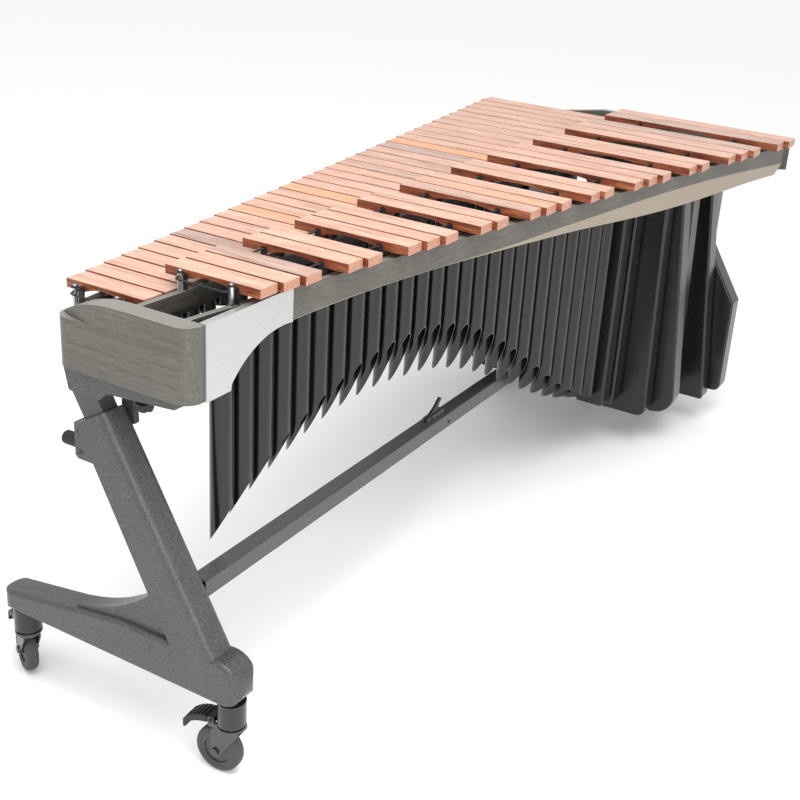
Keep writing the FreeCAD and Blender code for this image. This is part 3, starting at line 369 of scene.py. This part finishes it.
@dataclass(frozen=True)
class SatinPaint(Finish):
    """Sprayed satin paint on drawn or folded metal, with slight orange peel."""

    title: str
    colour: str
    rough: float
    peel_mm: float = 3.0

    def paint(self, tree: bpy.types.NodeTree, shader: bpy.types.Node,
              place: bpy.types.NodeSocket) -> None:
        """Orange peel, and a faint drift of tone along the piece.

        Args:
            tree: The material's node tree.
            shader: Its principled shader.
            place: Object coordinates in metres.
        """
        drift = noise(tree, scaled(tree, place, (1.0, 1.0, 0.2)), 9.0, 2.0)
        base = mix(tree, remap(tree, drift, 0.3, 0.7, 0.0, 0.10), self.colour, "2A2A29")
        tree.links.new(base, shader.inputs["Base Color"])
        peel = noise(tree, place, 1000.0 / self.peel_mm, 2.0)
        tree.links.new(bump(tree, peel, 0.03, 0.35), shader.inputs["Normal"])
        tree.links.new(remap(tree, drift, 0.3, 0.7, self.rough - 0.04, self.rough + 0.04),
                       shader.inputs["Roughness"])
        shader.inputs["IOR"].default_value = 1.5


@dataclass(frozen=True)
class PowderCoat(Finish):
    """Metallic grey powder coat on a casting: fine sandy texture with bright flakes."""

    title: str
    base: str = "4A4B4B"
    fleck: str = "A4A5A5"

    def paint(self, tree: bpy.types.NodeTree, shader: bpy.types.Node,
              place: bpy.types.NodeSocket) -> None:
        """Sandy relief with painted shade in its pits, between bright flakes.

        Args:
            tree: The material's node tree.
            shader: Its principled shader.
            place: Object coordinates in metres.
        """
        sand = noise(tree, place, 620.0, 3.0, 0.65)
        flakes = add_node(tree, "ShaderNodeTexVoronoi", values={"Scale": 520.0},
                          links={"Vector": place})
        bright = remap(tree, flakes.outputs["Distance"], 0.05, 0.34, 0.7, 0.0)
        slow = noise(tree, place, 14.0, 2.0)
        base = mix(tree, remap(tree, slow, 0.3, 0.7, 0.0, 0.25), self.base, "363737")
        # Painted shade: the low points of the sandy relief are darkened.
        base = mix(tree, remap(tree, sand, 0.38, 0.6, 0.6, 0.0), base, "1E1E1E")
        tree.links.new(mix(tree, bright, base, self.fleck), shader.inputs["Base Color"])
        tree.links.new(bump(tree, sand, 0.35, 0.6), shader.inputs["Normal"])
        tree.links.new(remap(tree, sand, 0.3, 0.7, 0.42, 0.28), shader.inputs["Roughness"])
        shader.inputs["Metallic"].default_value = 0.15


@dataclass(frozen=True)
class BrushedMetal(Finish):
    """Bare metal with fine parallel brushing."""

    title: str
    colour: str
    rough: float
    brushing: tuple[float, float, float] = (0.03, 1.0, 1.0)

    def paint(self, tree: bpy.types.NodeTree, shader: bpy.types.Node,
              place: bpy.types.NodeSocket) -> None:
        """Brush lines in brightness, roughness and relief.

        Args:
            tree: The material's node tree.
            shader: Its principled shader.
            place: Object coordinates in metres.
        """
        lines = noise(tree, scaled(tree, place, self.brushing), 1400.0, 3.0, 0.6)
        base = mix(tree, remap(tree, lines, 0.3, 0.7, 0.22, 0.0), self.colour, "6E6F70")
        tree.links.new(base, shader.inputs["Base Color"])
        tree.links.new(remap(tree, lines, 0.3, 0.7, self.rough + 0.08, self.rough - 0.05),
                       shader.inputs["Roughness"])
        tree.links.new(bump(tree, lines, 0.03, 0.3), shader.inputs["Normal"])
        shader.inputs["Metallic"].default_value = 1.0


@dataclass(frozen=True)
class MouldedPlastic(Finish):
    """Injection-moulded plastic or rubber with a fine spark-eroded texture."""

    title: str
    colour: str
    worn: str
    rough: float = 0.5
    grain_mm: float = 1.2
    ior: float = 1.5

    def paint(self, tree: bpy.types.NodeTree, shader: bpy.types.Node,
              place: bpy.types.NodeSocket) -> None:
        """Fine grain, and slow patches of handling wear.

        Args:
            tree: The material's node tree.
            shader: Its principled shader.
            place: Object coordinates in metres.
        """
        grain = noise(tree, place, 1000.0 / self.grain_mm, 2.0)
        wear = noise(tree, place, 35.0, 4.0, 0.65)
        base = mix(tree, remap(tree, wear, 0.45, 0.75, 0.0, 0.6), self.colour, self.worn)
        tree.links.new(base, shader.inputs["Base Color"])
        tree.links.new(bump(tree, grain, 0.12, 0.4), shader.inputs["Normal"])
        tree.links.new(remap(tree, wear, 0.3, 0.8, self.rough, self.rough + 0.15),
                       shader.inputs["Roughness"])
        shader.inputs["IOR"].default_value = self.ior


@dataclass(frozen=True)
class BraidedCord(Finish):
    """Braided nylon cord: a diagonal weave that repeats every 3 mm."""

    title: str

    def paint(self, tree: bpy.types.NodeTree, shader: bpy.types.Node,
              place: bpy.types.NodeSocket) -> None:
        """Diagonal braid in colour and relief.

        Args:
            tree: The material's node tree.
            shader: Its principled shader.
            place: Object coordinates in metres.
        """
        braid = add_node(tree, "ShaderNodeTexWave", settings={"bands_direction": "DIAGONAL"},
                         values={"Scale": 210.0, "Distortion": 1.5}, links={"Vector": place})
        colour = mix(tree, braid.outputs["Fac"], "0E0E0F", "2A2A2C")
        tree.links.new(colour, shader.inputs["Base Color"])
        tree.links.new(bump(tree, braid.outputs["Fac"], 0.4, 0.6), shader.inputs["Normal"])
        shader.inputs["Roughness"].default_value = 0.75


# ---------------------------------------------------------------- mesh helpers
def islands(node: str) -> list[tuple[Vector, Vector]]:
    """Boxes of the separate solids inside one CAD node.

    Args:
        node: The CAD node.

    Returns:
        The low and high corner of each solid, in metres.
    """
    work = bmesh.new()
    work.from_mesh(NODES[node].data)
    bmesh.ops.remove_doubles(work, verts=work.verts, dist=WELD)
    boxes = []
    todo = set(work.verts)
    while todo:
        front = [todo.pop()]
        found = list(front)
        while front:
            for edge in front.pop().link_edges:
                for vert in edge.verts:
                    if vert in todo:
                        todo.remove(vert)
                        front.append(vert)
                        found.append(vert)
        low = Vector([min(v.co[a] for v in found) for a in range(3)])
        high = Vector([max(v.co[a] for v in found) for a in range(3)])
        boxes.append((low, high))
    work.free()
    return sorted(boxes, key=lambda pair: (pair[0].x, pair[0].y))


def add_piece(name: str, work: bmesh.types.BMesh, finish: bpy.types.Material, body: str) -> bpy.types.Object:
    """Turn a finished bmesh into a piece that rides on a body.

    Args:
        name: Name of the new piece.
        work: Its mesh; it is freed here.
        finish: Its material.
        body: The body that carries it.

    Returns:
        The new object.
    """
    bmesh.ops.recalc_face_normals(work, faces=work.faces)
    for face in work.faces:
        face.smooth = True
    mesh = bpy.data.meshes.new(name)
    work.to_mesh(mesh)
    work.free()
    mesh.materials.append(finish)
    mesh.set_sharp_from_angle(angle=SHARP)
    piece = bpy.data.objects.new(name, mesh)
    bpy.context.scene.collection.objects.link(piece)
    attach(piece, body)
    LOG.info("made %s: %d faces", name, len(mesh.polygons))
    return piece


def turned(work: bmesh.types.BMesh, profile_mm: Sequence[tuple[float, float]], centre: Vector,
           steps: int = 24) -> None:
    """Add a body of revolution about an upright line.

    Args:
        work: The mesh that gets it.
        profile_mm: Radius and height pairs, from the axis to the axis.
        centre: Foot of the axis, in metres.
        steps: Facets round the axis.
    """
    verts = [work.verts.new(centre + Vector((radius * MM, 0.0, height * MM)))
             for radius, height in profile_mm]
    edges = [work.edges.new(pair) for pair in zip(verts, verts[1:])]
    bmesh.ops.spin(work, geom=verts + edges, cent=centre, axis=(0.0, 0.0, 1.0),
                   angle=math.tau, steps=steps, use_merge=True)
    bmesh.ops.remove_doubles(work, verts=work.verts, dist=0.000005)


def dress(node: str, finish: bpy.types.Material) -> None:
    """Give a CAD node its finish.

    Args:
        node: The node's name.
        finish: Its material.
    """
    thing = NODES[node]
    if not thing.material_slots:
        thing.data.materials.append(finish)
    for number in range(len(thing.material_slots)):
        thing.material_slots[number].material = finish


# ---------------------------------------------------------------- sub-assemblies
@dataclass
class BarRow:
    """One row of tuned bars, in groups of an octave with one bar spacing each.

    The gap before the first bar keeps each bar inside one step of the spacing, and the seed
    gives the two rows different tones.
    """

    prefix: str
    seed: float
    pitches_mm: tuple[float, ...] = (56.5, 59.5, 62.2, 69.5, 76.5)
    lead_mm: float = 3.0

    def dress(self) -> None:
        """Give every octave its rosewood, toned bar by bar."""
        for octave, pitch in enumerate(self.pitches_mm, start=1):
            node = f"{self.prefix}_bars_octave_{octave}"
            low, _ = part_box(node)
            start = low.x - self.lead_mm * MM
            finish = OiledRosewood(f"rosewood_oiled_{self.prefix}_{octave}", start, pitch * MM,
                                   octave + self.seed)
            dress(node, finish.build())
            LOG.info("dressed %s", node)


@dataclass
class Dressing:
    """One finish for a list of CAD nodes."""

    finish: Finish
    nodes: list[str] = field(default_factory=list)

    def apply(self) -> None:
        """Build the finish once and put it on every node."""
        material = self.finish.build()
        for node in self.nodes:
            dress(node, material)
            LOG.info("dressed %s with %s", node, material.name)


@dataclass
class CordCaps:
    """Black eyelet caps, each with a socket screw, on the treble end posts of both cords.

    Profiles are radius and height above the post's top.
    """

    node: str = "cord_end_posts"
    cap_profile_mm: tuple[tuple[float, float], ...] = (
        (0.0, 0.05), (6.6, 0.05), (7.2, 0.6), (7.2, 3.0), (6.4, 3.8), (0.0, 4.1))
    screw_profile_mm: tuple[tuple[float, float], ...] = (
        (0.0, 3.6), (3.6, 3.6), (3.6, 4.9), (3.0, 5.6), (1.2, 5.7), (1.1, 4.6), (0.0, 4.6))

    def build(self, plastic: bpy.types.Material, steel: bpy.types.Material) -> None:
        """Make the caps and their screws.

        Args:
            plastic: Finish of the caps.
            steel: Finish of the screws.
        """
        posts = [pair for pair in islands(self.node) if pair[0].x < 0.0]
        caps = bmesh.new()
        screws = bmesh.new()
        for low, high in posts:
            centre = Vector(((low.x + high.x) / 2.0, (low.y + high.y) / 2.0, high.z))
            turned(caps, self.cap_profile_mm, centre)
            turned(screws, self.screw_profile_mm, centre, 20)
        add_piece("cord_post_caps", caps, plastic, "top_frame")
        add_piece("cord_post_screws", screws, steel, "top_frame")


@dataclass
class PedalRibs:
    """Raised tread ribs across the brake pedal of one caster.

    Places run from the pedal's pin towards its tip. The tread starts at the root, and drops
    towards the tip as the square of the way along.
    """

    caster: str
    places_mm: tuple[float, ...] = (14.0, 23.0, 32.0, 41.0, 50.0, 58.0)
    root_mm: float = 9.0
    reach_mm: float = 57.0
    root_rise_mm: float = 7.6
    tip_drop_mm: float = 27.6
    rib_size_mm: tuple[float, float, float] = (34.0, 3.2, 3.4)
    rib_bevel_mm: float = 0.8

    def build(self, plastic: bpy.types.Material) -> None:
        """Make the ribs, square to the pedal's pin.

        Args:
            plastic: Their finish.
        """
        joint = JOINTS[self.caster + "_brake_pedal_tilt"]
        across = Vector(joint["axis"]).normalized()
        pin = Vector(joint["pos_m"])
        trail = Vector((-across.y, across.x, 0.0))
        work = bmesh.new()
        for place in self.places_mm:
            share = (place - self.root_mm) / self.reach_mm
            height = self.root_rise_mm - self.tip_drop_mm * share ** 2.0
            slope = -2.0 * self.tip_drop_mm * share / self.reach_mm
            way = (trail + Vector((0.0, 0.0, slope))).normalized()
            basis = Matrix((across, way, across.cross(way))).transposed().to_4x4()
            spot = pin + trail * place * MM + Vector((0.0, 0.0, height * MM))
            size = Matrix.Diagonal([side * MM for side in self.rib_size_mm] + [1.0])
            where = Matrix.Translation(spot) @ basis @ size
            made = bmesh.ops.create_cube(work, size=1.0, matrix=where)
            edges = list({edge for vert in made["verts"] for edge in vert.link_edges})
            bmesh.ops.bevel(work, geom=edges, offset=self.rib_bevel_mm * MM, offset_type="OFFSET",
                            segments=2, profile=0.5, affect="EDGES", material=-1)
        add_piece(self.caster + "_pedal_ribs", work, plastic, self.caster + "_brake_pedal")


@dataclass
class FootPlugs:
    """Pale round plug on the nose of one foot, beside the seam of the casting.

    The inset runs from the outer, lower, audience-side corner of the leg's box.
    """

    end: str
    inset_mm: tuple[float, float, float] = (12.0, 11.0, 26.0)
    radius_mm: float = 2.8
    tip_radius_mm: float = 2.4
    length_mm: float = 8.0

    def build(self, plastic: bpy.types.Material) -> None:
        """Make the plug.

        Args:
            plastic: Its finish.
        """
        low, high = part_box(f"{self.end}_leg_outer_half")
        inset = Vector(self.inset_mm) * MM
        side = low.x + inset.x if self.end == "treble" else high.x - inset.x
        work = bmesh.new()
        lying = Matrix.Rotation(math.radians(90.0), 4, "X")
        place = Matrix.Translation((side, low.y + inset.y, low.z + inset.z)) @ lying
        bmesh.ops.create_cone(work, cap_ends=True, segments=20, radius1=self.radius_mm * MM,
                              radius2=self.tip_radius_mm * MM, depth=self.length_mm * MM,
                              matrix=place)
        add_piece(f"{self.end}_foot_plug", work, plastic, "base")


@dataclass
class Studio:
    """Pale floor, soft lights and the camera; places are in metres in the part's frame."""

    floor_half_m: float = 30.0
    key_watts: float = 160.0
    side_watts: float = 60.0
    sensor_mm: float = 36.0
    eye: tuple[float, float, float] = (-2.7382, -1.4118, 1.7297)
    turn_deg: tuple[float, float, float] = (67.372, -4.184, -60.815)
    lens_mm: float = 54.455
    shift: tuple[float, float] = (-0.0672, -0.0499)

    def floor(self) -> None:
        """Lay the floor."""
        work = bmesh.new()
        bmesh.ops.create_grid(work, x_segments=1, y_segments=1, size=self.floor_half_m)
        mesh = bpy.data.meshes.new("studio_floor")
        work.to_mesh(mesh)
        work.free()
        ground = bpy.data.objects.new("studio_floor", mesh)
        bpy.context.scene.collection.objects.link(ground)
        material = bpy.data.materials.new("floor_pale_paint")
        material.use_nodes = True
        shader = material.node_tree.nodes["Principled BSDF"]
        shader.inputs["Base Color"].default_value = linear("F6F6F5")
        shader.inputs["Roughness"].default_value = 0.7
        mesh.materials.append(material)

    def light(self, name: str, place: tuple[float, float, float], aim: tuple[float, float, float],
              width: float, power: float) -> None:
        """Hang one square soft light.

        Args:
            name: Its name.
            place: Where it hangs.
            aim: The point it faces.
            width: Side of the square, in metres.
            power: Watts.
        """
        lamp = bpy.data.lights.new(name, "AREA")
        lamp.size = width
        lamp.energy = power
        thing = bpy.data.objects.new(name, lamp)
        thing.location = place
        thing.rotation_euler = (Vector(aim) - Vector(place)).to_track_quat("-Z", "Y").to_euler()
        bpy.context.scene.collection.objects.link(thing)

    def build(self) -> None:
        """Set up the floor, sky, lights and camera."""
        self.floor()
        world = bpy.data.worlds.new("studio")
        world.use_nodes = True
        world.node_tree.nodes["Background"].inputs[0].default_value = (1.0, 1.0, 1.0, 1.0)
        world.node_tree.nodes["Background"].inputs[1].default_value = 1.0
        bpy.context.scene.world = world
        self.light("key", (-1.5, -1.0, 4.2), (0.0, 0.0, 0.7), 3.0, self.key_watts)
        self.light("side", (-4.0, -3.0, 1.6), (-0.4, 0.0, 0.6), 2.5, self.side_watts)
        lens = bpy.data.cameras.new("camera")
        lens.lens = self.lens_mm
        lens.sensor_width = self.sensor_mm
        lens.shift_x, lens.shift_y = self.shift
        lens.clip_end = 100.0
        camera = bpy.data.objects.new("camera", lens)
        camera.location = self.eye
        camera.rotation_euler = Euler([math.radians(a) for a in self.turn_deg])
        bpy.context.scene.collection.objects.link(camera)
        bpy.context.scene.camera = camera
        bpy.context.scene.view_settings.view_transform = "Standard"


def main() -> None:
    """Dress every piece, then set up the studio."""
    logging.basicConfig(level=logging.INFO, format="%(message)s")
    for row in (BarRow("natural", 0.5), BarRow("accidental", 40.5)):
        row.dress()
    ends = ("treble", "bass")
    casters = ("treble_front", "treble_rear", "bass_front", "bass_rear")
    jobs = [
        Dressing(StainedOak("oak_grey_stain_rails", Axis.X),
                 ["audience_rail_treble", "audience_rail_bass"]),
        Dressing(StainedOak("oak_grey_stain_blocks", Axis.Y),
                 ["treble_end_block", "bass_end_block"]),
        # Painted shade: a darker copy of the same oak for the rails that lie in shadow inside the frame.
        Dressing(StainedOak("oak_stain_painted_shade_inner", Axis.X, "4A4540", "332F2B"),
                 ["player_rail", "natural_post_rails", "accidental_post_rails"]),
        Dressing(BrushedMetal("aluminium_brushed_anodised", "CDD0CF", 0.45), ["corner_plate"]),
        Dressing(BrushedMetal("aluminium_turned", "D6D7D8", 0.3), ["cord_end_posts"]),
        Dressing(BrushedMetal("steel_zinc_plated", "58595A", 0.33),
                 [c + "_fork" for c in casters]),
        Dressing(SatinPaint("flat_bar_anodised_dark", "1A1A1A", 0.4),
                 ["resonator_rails", "crossbar_hook"]),
        Dressing(SatinPaint("aluminium_satin_charcoal", "090909", 0.22),
                 ["accidental_resonator_tubes", "natural_resonator_tubes"]),
        Dressing(SatinPaint("aluminium_satin_black", "141414", 0.26),
                 ["accidental_resonator_boxes", "natural_resonator_boxes"]),
        Dressing(PowderCoat("casting_powder_coat_grey"),
                 [f"{e}_{part}" for e in ends
                  for part in ("leg_outer_half", "leg_inner_half", "clamp_block", "upper_leg")]
                 + ["crossbar_treble_half", "crossbar_bass_half"]),
        Dressing(MouldedPlastic("nylon_black_moulded", "17171A", "2B2B2E"),
                 ["natural_cord_posts", "accidental_cord_posts"]
                 + [f"{e}_{k}_knob" for e in ends for k in ("height", "frame")]
                 + [c + "_brake_pedal" for c in casters]),
        Dressing(SatinPaint("steel_black_sockets", "222222", 0.2), ["caster_housings"]),
        Dressing(MouldedPlastic("rubber_grey_tyre", "3A3A39", "464645", 0.6),
                 [c + "_tyre" for c in casters]),
        Dressing(MouldedPlastic("polypropylene_dark_hub", "3E3E40", "55555A", 0.45),
                 [c + "_hub" for c in casters]),
        Dressing(BraidedCord("nylon_braided_cord"), ["natural_cord", "accidental_cord"]),
    ]
    for job in jobs:
        job.apply()
    cap_plastic = MouldedPlastic("nylon_black_caps", "141416", "242426", 0.42).build()
    screw_steel = BrushedMetal("steel_screw_heads", "C9CACB", 0.25, (1.0, 1.0, 1.0)).build()
    pale_plastic = MouldedPlastic("nylon_pale_plugs", "B9B9B4", "A5A5A0", 0.5).build()
    CordCaps().build(cap_plastic, screw_steel)
    for caster in casters:
        PedalRibs(caster).build(cap_plastic)
    for end in ends:
        FootPlugs(end).build(pale_plastic)
    Studio().build()


if __name__ == "__main__":
    main()
